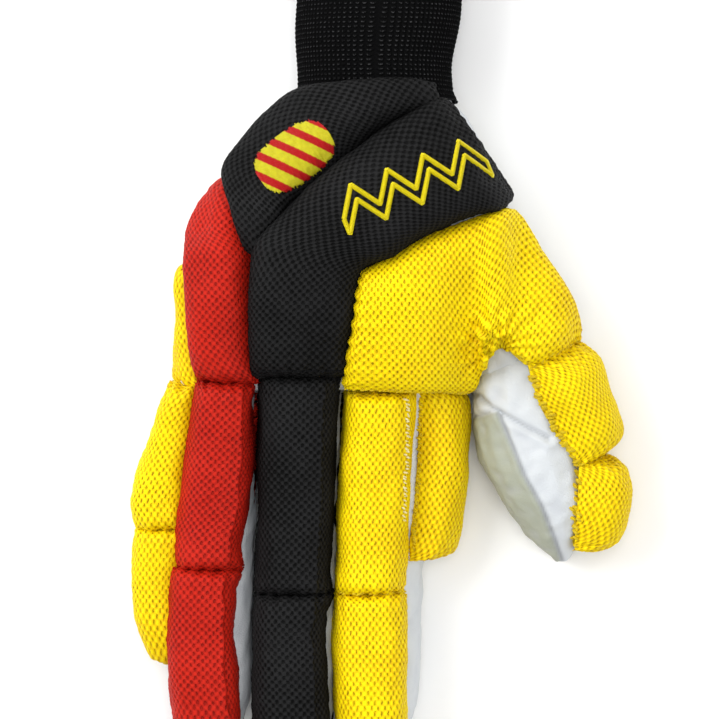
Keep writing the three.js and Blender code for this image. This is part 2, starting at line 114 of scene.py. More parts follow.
# columns: y left right top floor
MIDDLE = np.array([
    [-6, -37.6, -11, 28, 0],
    [-20, -38, -12.2, 26, 0],
    [-35, -37.9, -12.9, 24, 0],
    [-56, -38.2, -13.9, 22, 0],
    [-77, -38.9, -14.3, 21, 0],
    [-98, -39.2, -14.5, 20, 0],
    [-118, -38.4, -15, 19, 0],
    [-128, -34.8, -18.6, 16, 1],
    [-132, -30.5, -23, 11, 4],
])

# columns: y left right top floor
RING = np.array([
    [-6, -54.5, -39, 27, 0],
    [-20, -55.2, -38.8, 25, 0],
    [-35, -56.1, -38.6, 23, 0],
    [-56, -57.6, -39, 21, 0],
    [-77, -58.8, -39.8, 20, 0],
    [-98, -59.4, -40, 19, 0],
    [-112, -58.8, -40.6, 18, 0],
    [-120, -55.6, -43.4, 15, 1],
    [-124, -52, -47, 11, 4],
])

# columns: y left right top floor
LITTLE = np.array([
    [-6, -59.4, -55, 23, 0],
    [-20, -63.8, -56, 20.5, 0],
    [-35, -69.5, -56.9, 18.5, 0],
    [-56, -73, -58.4, 16.5, 0],
    [-77, -73.4, -59.6, 15.5, 0],
    [-88, -72.2, -60.3, 14.5, 0],
    [-94, -69.6, -61.8, 12, 1],
    [-97, -67, -64, 9, 3.5],
])

# columns: y left right top floor
THUMB = np.array([
    [34, 25, 38, 28, 0],
    [22, 22, 46, 32, 0],
    [10, 22, 52, 34, 0],
    [0, 24, 55.8, 33, 0],
    [-11, 26.6, 57, 31, 0],
    [-20, 27.2, 58.2, 30, 0],
    [-29, 27.6, 59.7, 29, 0],
    [-38, 28.8, 61, 28, 0],
    [-44, 32.4, 61.5, 27, 0],
    [-50, 35.4, 61.5, 26, 0],
    [-56, 39.6, 61, 24, 0],
    [-62, 44.4, 59.7, 20.5, 0],
    [-67, 49.5, 58, 15, 2],
    [-69.3, 52.5, 56, 10.5, 5],
])

# columns: y left right top floor
CUFF = np.array([
    [WRIST_SEAM + GAP, -26.7, 21.6, 35.6, 0],
    [84, -26.9, 21.4, 34.6, 0],
    [100, -26.8, 24, 34, 0],
    [118, -27, 25.4, 33.4, 0],
    [CUFF_END, -27.4, 26, 32.8, 0],
])

# columns: ax ay bx by high
UPPER_BACK_PAD = np.array([
    [-40.8, 25.2, -36.6, 23.2, 5],
    [-43.2, 36.2, -30, 33.8, 9],
    [-45.4, 47.2, -23.2, 40.8, 12],
    [-39.6, 56.4, -16.8, 46.8, 13],
    [-27.4, 68.8, -9.6, 53.2, 13],
    [-12.3, 73.6, -2.2, 59.8, 11],
    [0.6, 75.4, 6, 64.8, 9],
    [14.4, 74.4, 15.6, 68.4, 6],
])

# columns: ax ay bx by high
CROSS_PAD = np.array([
    [-39, -12, -11.2, -12, 11.5],
    [-39.4, -5.4, -10.8, -5.4, 13],
    [-39.8, 4.2, -9, 4.2, 14],
    [-39.2, 14.7, -7.4, 15, 14],
    [-38, 25.4, -4.8, 20, 14],
    [-30.8, 34.4, 2.6, 23.2, 14],
    [-20.4, 44.6, 11.6, 28.9, 14],
    [-9.3, 54.2, 20.1, 33.1, 14],
    [2.6, 62.8, 28.2, 36, 13],
    [11.8, 68.6, 33.6, 37.4, 12],
    [17.6, 69.8, 36.4, 39.4, 10],
    [20.8, 66, 36.8, 43.2, 7],
])

# columns: ax ay bx by high
RING_BACK_PAD = np.array([
    [-46.8, 46.2, -44.8, 45.6, 4],
    [-50.8, 40.6, -43, 39.8, 7],
    [-53.8, 32.4, -41.4, 31.6, 10],
    [-55, 25.2, -39.8, 24.9, 12],
    [-55.6, 19.2, -39.2, 19.6, 12.5],
    [-55.6, 10.2, -39.4, 10.2, 12.5],
    [-55.6, -0.3, -39.4, -0.3, 12.5],
    [-55.6, -7.2, -38.8, -7.2, 12.5],
    [-55, -13.8, -37.6, -13.8, 11],
])

# columns: ax ay bx by high
INDEX_BACK_PAD = np.array([
    [-6.6, 19.4, -11.4, -14.6, 12],
    [2.2, 23.6, 3.6, -15.4, 14],
    [13.8, 29.4, 15.4, -16, 14],
    [25.6, 34.2, 26.2, -15.2, 13],
    [31.8, 36.2, 30.4, -9.6, 12.5],
    [36.6, 36.6, 34, -3.6, 12],
    [41, 34.4, 38.4, -6, 11.5],
    [45.6, 28, 42.2, -9, 11.2],
    [49.8, 20.8, 46.2, -8.6, 10.8],
    [53.4, 13.8, 50.6, -7.2, 10.4],
    [56.6, 7.4, 54.8, -5.2, 9.6],
    [59.8, 1, 58.8, -2.8, 8],
])

# columns: ax ay az bx by bz high
LITTLE_BACK_PAD = np.array([
    [-57, 20, 9, -57.4, 20, 21, 4.6],
    [-58.4, 14, 6, -58.4, 14, 22.5, 5.4],
    [-58.8, 2, 5, -57.8, 2, 21.5, 5.6],
    [-59.6, -8, 5, -56.2, -8, 22, 5.8],
    [-60.6, -14.9, 5, -55.6, -14.9, 22, 5.8],
])

# columns: ax ay az bx by bz high
INDEX_SIDE_PAD = np.array([
    [10.2, -17.4, 22.4, 18.4, -17.4, 4.5, 10.6],
    [10.4, -27, 21.8, 18.4, -27, 4, 11.8],
    [10.2, -38, 20.8, 17.6, -38, 4, 12.2],
    [9.4, -47, 20, 16.8, -47, 4, 12],
    [8.4, -57, 19.4, 15.8, -57, 4, 11.6],
    [7.4, -67.6, 18.8, 14.6, -66, 5, 9.8],
])

# columns: ax ay az bx by bz high
THUMB_PAD_1 = np.array([
    [43.2, -9.8, 32.4, 56.8, -2.2, 13, 9.5],
    [44.6, -14.8, 31.6, 58.4, -7.4, 9, 12.5],
    [47, -21.8, 30.4, 60.2, -15.8, 7, 14.4],
    [51.2, -29, 28.4, 61.6, -24.2, 6, 15],
    [55.2, -34.8, 26.6, 62.6, -31.4, 5.5, 14],
    [58, -39, 25.4, 63.4, -36, 5.5, 11.6],
])

# columns: ax ay az bx by bz high
THUMB_PAD_2 = np.array([
    [58.8, -40, 25, 65, -37, 5.5, 11.2],
    [58.8, -46, 24.4, 64.2, -44.4, 4, 14],
    [58.5, -52, 23.4, 63.6, -52, 4, 14],
    [58.2, -58, 21.4, 62.8, -58, 4, 13.2],
    [58, -64.6, 18, 61.6, -64.2, 6, 9.6],
])

# columns: y left right
FINGER_PADS = {
    "index_pad_1": (INDEX, np.array([
        [-16.8, -11.4, 9.2], [-24, -12, 9.3], [-34.8, -12.8, 8.7], [-55.8, -13.7, 7.2],
        [-70, -14.2, 6.3], [-78, -14.2, 5.9],
    ])),
    "index_pad_2": (INDEX, np.array([
        [-78.6, -14.4, 6.2], [-87, -15, 6.6], [-95.4, -15.2, 6.9], [-108, -14.7, 7.2],
        [-116, -14.3, 6.8], [-122, -13.4, 5.6], [-126, -11.4, 3.6], [-128.6, -8.2, 0.2],
    ])),
    "middle_pad_1": (MIDDLE, np.array([
        [-11, -38, -11.6], [-20, -37.8, -12.4], [-40, -37.8, -13.6], [-54, -37.8, -14.3],
        [-67, -38.3, -15], [-78, -38.4, -15.4],
    ])),
    "middle_pad_2": (MIDDLE, np.array([
        [-78.6, -38.8, -15.6], [-86, -39.5, -16.2], [-95, -39.6, -16.4], [-105, -39.5, -15.7],
        [-119, -39.4, -15.4], [-126, -38.4, -16.4], [-130.4, -36.2, -18.4], [-133.4, -32.8, -22],
    ])),
    "ring_pad_1": (RING, np.array([
        [-13.5, -56.2, -38.8], [-20, -57.9, -38.6], [-30, -59.3, -38.4], [-42, -60.9, -38.6],
        [-54, -62.5, -40], [-62, -62.8, -42], [-70.4, -62.6, -42.8],
    ])),
    "ring_pad_2": (RING, np.array([
        [-71, -64.2, -43.2], [-80, -65.3, -43.7], [-92, -65.4, -44], [-104, -65.3, -43.2],
        [-113, -64.6, -42.4], [-119, -63.4, -43.2], [-123, -61, -45.2], [-125.8, -57.4, -48.8],
    ])),
    "little_pad_1": (LITTLE, np.array([
        [-15.2, -64.6, -55.4], [-24, -68.9, -57.2], [-34, -72.2, -58.4], [-44, -75, -59.6],
        [-52, -76.3, -60.4], [-58.9, -75.2, -60.6],
    ])),
    "little_pad_2": (LITTLE, np.array([
        [-59.5, -75.2, -60.8], [-68, -76.2, -61.2], [-78, -76.2, -61.6], [-86, -75.2, -62],
        [-92, -72.9, -62.4], [-95.8, -70.6, -63.4], [-98.2, -67.8, -65],
    ])),
}

# The photo: its width, the size of a pixel at the pads, and the pixel of the drawing's origin
PHOTO = 719
PIXEL = 0.30
PHOTO_ORIGIN = (384.0, 334.0)

# Pads: distance between points across and along, a quarter of the holes' spacing, and the holes' depth
WEAVES = {"yellow_mesh": (0.52, 0.68, 0.28), "red_mesh": (0.6, 0.6, 0.26), "black_mesh": (0.6, 0.6, 0.3)}
PLACES = 400  # dense steps along a pad, and round its section
SECTION = 160
UNDER_POINTS = 5
END_LENGTH = 4.2  # length over which a pad's end rounds off
END_POWER = 2.8
END_INSET = 0.2
PRESS_END = 1.25  # neighbouring pads press together past their solids' ends and sides
PRESS_FADE = 6
PRESS_SIDE = 0.6
LUMPS = (22, 7)  # sizes of the foam's broad and small lumps
END_PUCKER = (4.6, 3.2)  # spacing of the puckers along a pad's ends, and the length over which they fade
SIDE_PUCKER = (4.2, 3.0)  # the same along its sides
FOLD_PLACE = 0.77  # share of a roll's width where the fold along its side begins
GATHERS = (34.5, -4.0)  # middle of the gathers between the index and the thumb
GATHER_COUNT = 15
GATHER_REACH = 11.5

# Leather
LEATHER_VOXEL = 0.85
THUMB_VOXEL = 0.65
WRIST_AXIS = (-2.6, 18)  # x and z of the wrist's middle
WRIST_TUCK = 1.3  # the leather is drawn in under the cuff's lap
SEAM_LAP = 1.2  # the hand's lap over the fingers' seams, and theirs under it
FINGER_LAP = 1.92
HAND_LAP_END = 24  # the hand laps over the fingers up to this x
KNUCKLE_SEAM = -17
THUMB_SEAM = (21.9, -17.4, 0.47)  # x, y and slope of the seam across the thumb's root
LONG_FOLD = [(27.9, -18.3), (32.7, -22.2), (37.8, -25.2), (43.8, -28.5), (49.8, -31.5)]
SHORT_FOLD = [(26.4, -25.5), (29, -24.6), (31.8, -23.7)]
FOLD_DEPTHS = ((LONG_FOLD, 0.9), (SHORT_FOLD, 0.6))
FOLDS_ABOVE = 14  # heights over which the thumb's folds and its seam show
EDGE_ABOVE = 8
# The seam between the thumb's palm side and its white side, as depth below the origin and x
EDGE_DOWN = [10, 23.7, 31.5, 42.9, 51.9, 63.9, 69]
EDGE_X = [30, 34.8, 37.8, 42.6, 47.7, 52.5, 54.6]
LEATHER_NODES = ["hand_shell"] + [f"{part}_sleeve" for part in ("thumb", "index", "middle", "ring", "little")]

# Knitted cuff
COLUMNS = 92
STITCH = 4  # points round the cuff to a column
ROW = 1.35  # height of one knitted row
WALL = 2.2
CUFF_LAP = 3.2  # the knit laps over the leather at the wrist
CUFF_FLARE = 1.2
PALM_ROUND = 0.7

# Embroidery
THREAD = 0.45  # width of one thread
MOTIF = {"x": -11, "y": 31.4, "step": 11.5, "peaks": 4, "rise": 8.5, "line": 2.3, "turn": 0.4}
PATCH = {"x": -26.6, "y": 52.4, "long": 12.4, "wide": 8.2, "turn": 0.62, "square": 0.7,
         "crown": 0.55, "thick": 0.9}
STRIPES = {"step": 6.2, "wide": 2.6, "slant": 0.55}
ROD_RINGS = 7  # rings of points along a stitch, and points in a ring
ROD_SIDES = 7

# Room
PAD_HEIGHT = 32.0
CAMERA_HIGH = 1100.0
FLOOR_HALF = 3000.0


# Curves through the rows of a table
def between(rows, place):
    """Rows at fractional places, on a smooth curve through the table's rows."""
    last = len(rows) - 1
    place = np.clip(np.atleast_1d(place), 0, last)
    i = np.minimum(place.astype(int), last - 1)
    t = (place - i)[:, None]
    a, b, c, d = (rows[np.clip(i + k, 0, last)] for k in (-1, 0, 1, 2))
    bend = (2 * a - 5 * b + 4 * c - d) * t**2 + (3 * b - a - 3 * c + d) * t**3
    return 0.5 * (2 * b + (c - a) * t + bend)


def at_y(rows, y):
    """Rows of a leather table at given y."""
    order = np.argsort(rows[:, 0])
    place = np.interp(np.atleast_1d(y), rows[order, 0], order)
    return between(rows, place)


def back_height(rows, x, y):
    """Height of a leather form's arched back above points of the plan."""
    r = at_y(rows, y)
    off = np.minimum(np.abs(x - (r[:, 1] + r[:, 2]) / 2) / ((r[:, 2] - r[:, 1]) / 2), 1)
    belt = r[:, 4] + (r[:, 3] - r[:, 4]) * BELT
    return belt + (r[:, 3] - belt) * np.sqrt(1 - off ** (2 / BACK_ROUND)) ** BACK_ROUND


def on_back(rows):
    """Edges of a back pad lie just above the leather. Columns become ax ay az bx by bz high."""
    ax, ay, bx, by, high = rows.T
    az = np.maximum(back_height(HAND, ax, ay), back_height(THUMB, ax, ay)) + PAD_LIFT
    bz = np.maximum(back_height(HAND, bx, by), back_height(THUMB, bx, by)) + PAD_LIFT
    return np.column_stack([ax, ay, az, bx, by, bz, high])


def on_finger(sleeve, rows, thick):
    """A finger pad's arch stands over a chord at its hem, inside the leather finger."""
    y, left, right = rows.T
    top = at_y(sleeve, y)[:, 3]
    hem = top * FINGER_PAD_HEM
    return np.column_stack([left, y, hem, right, y, hem, top - hem + thick])


def distances(curve):
    """How far along a line each of its points lies."""
    return np.concatenate([[0], np.cumsum(np.linalg.norm(np.diff(curve, axis=0), axis=1))])


def even(curve, spacing):
    """Places along a dense curve, at even steps of its length."""
    length = distances(curve)
    count = max(int(round(length[-1] / spacing)), 4)
    return np.interp(np.linspace(0, length[-1], count + 1), length, np.arange(len(curve)))


def sample(rows, places):
    """Rows of a dense table at fractional places, by straight lines."""
    return np.column_stack([np.interp(places, np.arange(len(rows)), column) for column in rows.T])


def unit(v):
    """Vectors at length 1."""
    return v / np.maximum(np.linalg.norm(v, axis=-1, keepdims=True), 1e-9)


def bell(off, width):
    """1 on a line, fading to 0 on both its sides."""
    return np.exp(-((off / width) ** 2))


def waves(points, size, count=10, seed=1):
    """Smooth noise that is the same each run: a few waves in random directions."""
    draw = np.random.default_rng(seed)
    total = np.zeros(len(points))
    for _ in range(count):
        direction = unit(draw.normal(size=3))
        scale = draw.uniform(0.7, 1.5) * 2 * math.pi / size
        total += np.sin(points @ direction * scale + draw.uniform(0, 2 * math.pi))
    return total / math.sqrt(count)


# Meshes
def mesh_object(name, points, faces, smooth=True):
    """A new object from points in millimetres."""
    mesh = bpy.data.meshes.new(name)
    mesh.from_pydata((points * MM).tolist(), [], faces)
    mesh.update()
    mesh.polygons.foreach_set("use_smooth", [smooth] * len(mesh.polygons))
    obj = bpy.data.objects.new(name, mesh)
    bpy.context.scene.collection.objects.link(obj)
    return obj


def tube(rings, sides, joined=False, caps=True):
    """Faces round a tube's rings of points, with its ends capped or joined to each other."""
    faces = []
    for i in range(rings if joined else rings - 1):
        here, there = i * sides, (i + 1) % rings * sides
        for k in range(sides):
            after = (k + 1) % sides
            faces.append((here + k, here + after, there + after, there + k))
    if caps and not joined:
        last = (rings - 1) * sides
        faces.append(tuple(range(sides))[::-1])
        faces.append(tuple(range(last, last + sides)))
    return faces


def store(obj, name, values):
    """Keeps a vector for each point, which the material reads by name."""
    layer = obj.data.attributes.new(name, "FLOAT_VECTOR", "POINT")
    layer.data.foreach_set("vector", np.ascontiguousarray(values, np.float32).ravel())


def face_outward(obj):
    """Turns a closed mesh's faces outward."""
    bm = bmesh.new()
    bm.from_mesh(obj.data)
    bmesh.ops.recalc_face_normals(bm, faces=bm.faces)
    bm.to_mesh(obj.data)
    bm.free()


def slot_of(material):
    """The record's slot for a material: its name without the number that Blender adds."""
    return material.name.split(".")[0]


def settle(obj, slot, *nodes):
    """Each piece rides on the one body and stands for its nodes; the slot is not used."""
    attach(obj, "root")
    if nodes:
        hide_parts(*nodes)
    return obj


def tree_of(*meshes):
    """Meshes joined in one tree, in millimetres, to find what lies below a point."""
    points, faces = [], []
    for mesh in meshes:
        base = len(points)
        points += [v.co / MM for v in mesh.vertices]
        faces += [[base + i for i in p.vertices] for p in mesh.polygons]
    return BVHTree.FromPolygons(points, faces)


LEATHER = tree_of(*[frame["nodes"][name].data for name in LEATHER_NODES + ["wrist_cuff"]])


# Pads
def pad_spine(rows, facing, row_step, upright, sideways, reach):
    """A pad's two edges, its heights and its directions, at even steps along its crown."""
    r = between(rows, np.linspace(0, len(rows) - 1, PLACES))
    a, b, high = r[:, 0:3], r[:, 3:6], r[:, 6]
    middle = (a + b) / 2
    way = np.array([1, 0, 1]) if sideways else np.ones(3)
    run = distances(middle * way)
    from_end = np.minimum(run, run[-1] - run)
    push = np.interp(run / run[-1], [0, 0.5, 1], [-1, 0, reach]) * PRESS_END
    push *= np.exp(-from_end / PRESS_FADE)
    along = unit(np.gradient(middle, axis=0)) * push[:, None]
    a, b = a + along, b + along
    chord = unit(b - a) * PRESS_SIDE
    a, b = a - chord, b + chord
    near = np.minimum(from_end / min(END_LENGTH, run[-1] * 0.3), 1)
    rise = (1 - (1 - near) ** END_POWER) ** (1 / END_POWER)
    places = even(np.column_stack([run, high * rise]), row_step)
    a, b = sample(a, places), sample(b, places)
    high, rise, near, run = sample(np.column_stack([high, rise, near, run]), places).T
    width = np.linalg.norm(b - a, axis=1)
    across = unit(b - a)
    out = np.cross(unit(np.gradient((a + b) / 2 * way, axis=0)), across)
    if upright:
        out = np.array(facing) - (across @ np.array(facing))[:, None] * across
    out = unit(out)
    out *= np.sign(out @ np.array(facing))[:, None]
    inset = END_INSET * (1 - near) ** 2
    return SimpleNamespace(a=a, b=b, high=high, rise=rise, run=run, width=width, across=across, out=out,
                           inset=inset)


def pad_arch():
    """A pad's section: share of the width and share of the height, round from edge to edge."""
    angle = np.linspace(0, math.pi, SECTION)
    cosine, sine = np.cos(angle), np.maximum(np.sin(angle), 0)
    return 0.5 - 0.5 * np.sign(cosine) * np.abs(cosine) ** PAD_SQUARE, sine**PAD_CROWN


def pad_skin(spine, column_step):
    """Even points over a pad's top, each with its way round from the crown and its share of the width."""
    u, arch = pad_arch()
    widest = int(np.argmax(spine.width + spine.high))
    columns = even(np.column_stack([u * spine.width[widest], arch * spine.high[widest]]), column_step)
    rows, count = len(spine.run), len(columns)
    surface, girth, share = np.zeros((rows, count, 3)), np.zeros((rows, count)), np.zeros((rows, count))
    for i in range(rows):
        x = spine.inset[i] + u * (spine.width[i] - 2 * spine.inset[i])
        own = np.column_stack([x, arch * spine.high[i] * spine.rise[i]])
        length = distances(own)
        spots = np.interp(np.linspace(0, length[-1], count), length, np.arange(SECTION))
        x, z = sample(own, spots).T
        surface[i] = spine.a[i] + x[:, None] * spine.across[i] + z[:, None] * spine.out[i]
        girth[i] = np.linspace(-length[-1] / 2, length[-1] / 2, count)
        share[i] = x / spine.width[i]
    normal = unit(np.cross(np.gradient(surface, axis=0), np.gradient(surface, axis=1)))
    if normal[widest, count // 2] @ spine.out[widest] < 0:
        normal = -normal
    return surface, normal, girth, share


def pad_under(spine):
    """The underside rests on the leather, or spans the pad's chord where there is none."""
    arch = pad_arch()[1]
    under = np.zeros((len(spine.run), UNDER_POINTS, 3))
    for k in range(UNDER_POINTS):
        share = 1 - (k + 1) / (UNDER_POINTS + 1)
        chord = spine.a + spine.across * (spine.inset + share * (spine.width - 2 * spine.inset))[:, None]
        for row, out in enumerate(spine.out):
            top = spine.high[row] * spine.rise[row] * arch[int(share * (SECTION - 1))]
            hit = LEATHER.ray_cast(Vector(chord[row] + out * (top + 0.5)), Vector(-out), top + 0.5)
            lift = top + 0.5 - hit[3] + GAP if hit[0] is not None else 0.0
            under[row, k] = chord[row] + out * min(lift, max(top - 0.6, 0))
    return under


def pad(node, rows, facing, material, pucker=0.5, lumps=0.35, gathers=None, upright=False, sideways=False,
        fold_side=False, reach=1):
    """A plump roll between two edges, with the fabric's holes pressed in, gathered along its ends."""
    column_step, row_step, hollow = WEAVES[slot_of(material)]
    if sideways:
        column_step, row_step = row_step, column_step
    spine = pad_spine(rows, facing, row_step, upright, sideways, reach)
    surface, normal, girth, share = pad_skin(spine, column_step / 2 if sideways else column_step)
    m, n = girth.shape
    flat = surface.reshape(-1, 3)
    seed = sum(map(ord, node))
    from_end = np.minimum(spine.run, spine.run[-1] - spine.run)[:, None]
    from_side = np.abs(girth[:, :1]) - np.abs(girth)
    # Lumps of the foam, puckers along the edges, and folds
    lump = waves(flat, LUMPS[0], seed=seed).reshape(m, n) * lumps
    lump += waves(flat, LUMPS[1], seed=seed + 1).reshape(m, n) * lumps * 0.3
    stray = waves(flat * [1, 1, 0.3], 9, seed=seed + 2).reshape(m, n)
    fold = np.sin(girth * 2 * math.pi / END_PUCKER[0] + stray * 1.6) * np.exp(-from_end / END_PUCKER[1])
    side_fold = 0.6 * np.sin(spine.run[:, None] * 2 * math.pi / SIDE_PUCKER[0] + stray * 1.6)
    fold += side_fold * np.exp(-from_side / SIDE_PUCKER[1])
    if gathers is not None:
        fold += gathers(flat).reshape(m, n)
    if fold_side:
        place = share - FOLD_PLACE - stray * 0.02
        corner = 0.5 * bell(place, 0.03) - 1.5 * np.clip(place / 0.05, 0, 1)
        fold += corner / pucker * np.clip((from_end - 1) / 5, 0, 1)
    tuck = -0.5 * np.exp(-from_side / 1.0)
    # Staggered holes of the fabric
    i = np.arange(m)[:, None]
    around = (girth - (spine.a + spine.b)[:, 1:2] / 2 if sideways else girth) / (2 * column_step)
    hole = np.cos(math.pi * i / 2) * np.cos(math.pi * around)
    pit = -hollow * np.maximum(hole, 0) + 0.25 * hollow * np.maximum(-hole, 0)
    body = np.clip(from_side / 2.0, 0, 1) * np.clip(spine.rise[:, None] * 2, 0, 1)
    surface += normal * ((lump * body + fold * pucker * body + tuck + pit)[..., None])
    weave = np.zeros((m, n + UNDER_POINTS, 3))
    weave[:, :n, 0], weave[:, :n, 1] = (i / 2, around) if sideways else (around, i / 2)
    ring = np.concatenate([surface, pad_under(spine)], axis=1)
    name = node.replace("_pad", "_padding")
    obj = mesh_object(name, ring.reshape(-1, 3) + SHIFT, tube(m, n + UNDER_POINTS))
    face_outward(obj)
    store(obj, "weave", weave.reshape(-1, 3))
    obj.data.materials.append(material)
    settle(obj, slot_of(material), node)
    return obj


# Materials
class Nodes:
    """Short names for building a material's nodes."""

    def __init__(self, name):
        self.material = bpy.data.materials.new(name)
        self.material.use_nodes = True
        self.tree = self.material.node_tree
        self.shader = self.tree.nodes["Principled BSDF"]

    def add(self, kind, **settings):
        node = self.tree.nodes.new(kind)
        for key, value in settings.items():
            setattr(node, key, value)
        return node

    def link(self, source, target):
        self.tree.links.new(source, target)

    def put(self, target, value):
        if hasattr(value, "is_linked"):
            self.link(value, target)
        else:
            target.default_value = value

    def math(self, operation, *values):
        node = self.add("ShaderNodeMath", operation=operation)
        for socket, value in zip(node.inputs, values):
            self.put(socket, value)
        return node.outputs[0]

    def times(self, a, b):
        return self.math("MULTIPLY", a, b)

    def plus(self, a, b):
        return self.math("ADD", a, b)

    def minus(self, a, b):
        return self.math("SUBTRACT", a, b)

    def ramp(self, value, low, high, to_low=0.0, to_high=1.0):
        node = self.add("ShaderNodeMapRange", interpolation_type="SMOOTHSTEP")
        for socket, v in zip(node.inputs, (value, low, high, to_low, to_high)):
            self.put(socket, v)
        return node.outputs[0]

    def mix(self, factor, a, b, blend="MIX"):
        node = self.add("ShaderNodeMix", data_type="RGBA", blend_type=blend)
        self.put(node.inputs[0], factor)
        for socket, v in ((node.inputs[6], a), (node.inputs[7], b)):
            self.put(socket, v if hasattr(v, "is_linked") else (*v, 1.0))
        return node.outputs[2]

    def noise(self, scale, detail=4.0, vector=None, roughness=0.55):
        node = self.add("ShaderNodeTexNoise")
        self.link(vector or self.place(), node.inputs["Vector"])
        node.inputs["Scale"].default_value = scale
        node.inputs["Detail"].default_value = detail
        node.inputs["Roughness"].default_value = roughness
        return node.outputs["Fac"]

    def place(self):
        return self.add("ShaderNodeTexCoord").outputs["Object"]

    def stored(self, name):
        vector = self.add("ShaderNodeAttribute", attribute_name=name).outputs["Vector"]
        split = self.add("ShaderNodeSeparateXYZ")
        self.link(vector, split.inputs[0])
        return split.outputs

    def bump(self, height, distance, strength=1.0, normal=None):
        node = self.add("ShaderNodeBump")
        node.inputs["Distance"].default_value = distance
        node.inputs["Strength"].default_value = strength
        self.link(height, node.inputs["Height"])
        if normal is not None:
            self.link(normal, node.inputs["Normal"])
        return node.outputs[0]


def padded_mesh(name, strand, dark_yarn_and_shade, hole, slit, hole_shade_strength, shine=0.12):
    """Padded mesh fabric: knitted strands round staggered holes, which slit narrows across the columns. The
    holes are coloured dark as painted shade, the strands' crests get a painted highlight, and the yarn is
    painted darker towards the holes as shade.
    """
    n = Nodes(name)
    u, v, _ = n.stored("weave")
    fuzz = n.noise(2600.0, 3.0)
    wobble = n.times(n.minus(n.noise(700.0, 2.0), 0.5), 0.9)
    across = n.math("COSINE", n.times(n.plus(u, wobble), math.pi))
    along = n.math("COSINE", n.times(n.minus(v, wobble), math.pi))
    lattice = n.times(across, along)
    narrow = n.minus(1.0, n.times(across, across))
    cell = n.minus(lattice, n.times(narrow, slit))
    cell = n.plus(cell, n.times(n.minus(fuzz, 0.5), 0.5))
    # Painted shade: the holes' recesses are coloured dark
    hole_shade_mask = n.ramp(cell, 0.4, 0.78)
    # The darker yarn colour serves both random patchiness and painted shade towards the holes
    patchy = n.noise(38.0, 3.0)
    yarn = n.mix(n.ramp(patchy, 0.3, 0.7), strand, dark_yarn_and_shade)
    yarn = n.mix(n.times(n.ramp(fuzz, 0.35, 0.7), 0.6), yarn, dark_yarn_and_shade)
    # Painted highlight: the strands' crests between the holes are coloured lighter
    highlight_ridge = n.ramp(lattice, 0.1, -0.8)
    painted_highlight = tuple(min(c * 1.35, 1) for c in strand)
    yarn = n.mix(n.times(highlight_ridge, 0.5), yarn, painted_highlight)
    # Painted shade: the yarn darkens towards each hole
    yarn = n.mix(n.times(n.ramp(lattice, -0.1, 0.6), 0.3), yarn, dark_yarn_and_shade)
    hole_shade_amount = n.ramp(n.noise(160.0, 3.0), 0.35, 0.65, hole_shade_strength * 0.45, hole_shade_strength)
    n.link(n.mix(n.times(hole_shade_mask, hole_shade_amount), yarn, hole), n.shader.inputs["Base Color"])
    height = n.minus(n.times(fuzz, 0.4), n.ramp(cell, -0.2, 0.7))
    n.link(n.bump(height, 0.0005, 0.9), n.shader.inputs["Normal"])
    n.shader.inputs["Roughness"].default_value = 0.6
    n.shader.inputs["Specular IOR Level"].default_value = shine
    return n.material


def leather_material():
    """White goat leather, beige on the palm, with fine grain, dark seam lines, and painted shade in its
    creases and folds.
    """
    n = Nodes("glove_leather")
    beige, seam, crease_shade = n.stored("tone_and_shade")
    cloud = n.noise(70.0, 5.0)
    white = n.mix(cloud, (0.56, 0.59, 0.62), (0.66, 0.69, 0.71))
    palm = n.mix(cloud, (0.32, 0.34, 0.27), (0.42, 0.44, 0.36))
    colour = n.mix(beige, white, palm)
    # The seam's dark line, and painted shade along the thumb's folds
    colour = n.mix(n.times(seam, 0.75), colour, (0.20, 0.21, 0.22))
    # Painted shade in the wrinkles' hollows
    colour = n.mix(n.times(crease_shade, 0.3), colour, (0.45, 0.47, 0.52))
    n.link(colour, n.shader.inputs["Base Color"])
    grain = n.add("ShaderNodeTexVoronoi", feature="DISTANCE_TO_EDGE")
    n.link(n.place(), grain.inputs["Vector"])
    grain.inputs["Scale"].default_value = 1500.0
    soft = n.noise(420.0, 6.0)
    height = n.plus(n.times(n.ramp(grain.outputs["Distance"], 0.0, 0.15), 0.4), soft)
    n.link(n.bump(height, 0.00035, 0.6), n.shader.inputs["Normal"])
    n.link(n.ramp(soft, 0.3, 0.7, 0.5, 0.7), n.shader.inputs["Roughness"])
    return n.material


def knit_material():
    """Black rib knit, with painted glints: lighter specks where the yarn turns."""
    n = Nodes("cuff_knit")
    u, v, _ = n.stored("weave")
    fuzz = n.noise(2400.0, 4.0)
    rib = n.math("ABSOLUTE", n.math("SINE", n.times(u, math.pi)))
    row = n.plus(v, n.times(rib, 0.35))
    loop = n.math("ABSOLUTE", n.math("SINE", n.times(row, math.pi)))
    glint = n.times(n.ramp(loop, 0.82, 1.0), n.ramp(rib, 0.55, 0.95))
    glint = n.times(glint, n.ramp(fuzz, 0.42, 0.62))
    yarn = n.mix(fuzz, (0.0012, 0.0012, 0.0013), (0.0034, 0.0034, 0.0036))
    # Painted glints: the specks are coloured lighter
    n.link(n.mix(n.times(glint, 0.75), yarn, (0.060, 0.060, 0.062)), n.shader.inputs["Base Color"])
    height = n.plus(n.times(loop, rib), n.times(fuzz, 0.5))
    n.link(n.bump(height, 0.0005, 0.9), n.shader.inputs["Normal"])
    n.shader.inputs["Roughness"].default_value = 0.9
    n.shader.inputs["Specular IOR Level"].default_value = 0.04
    return n.material


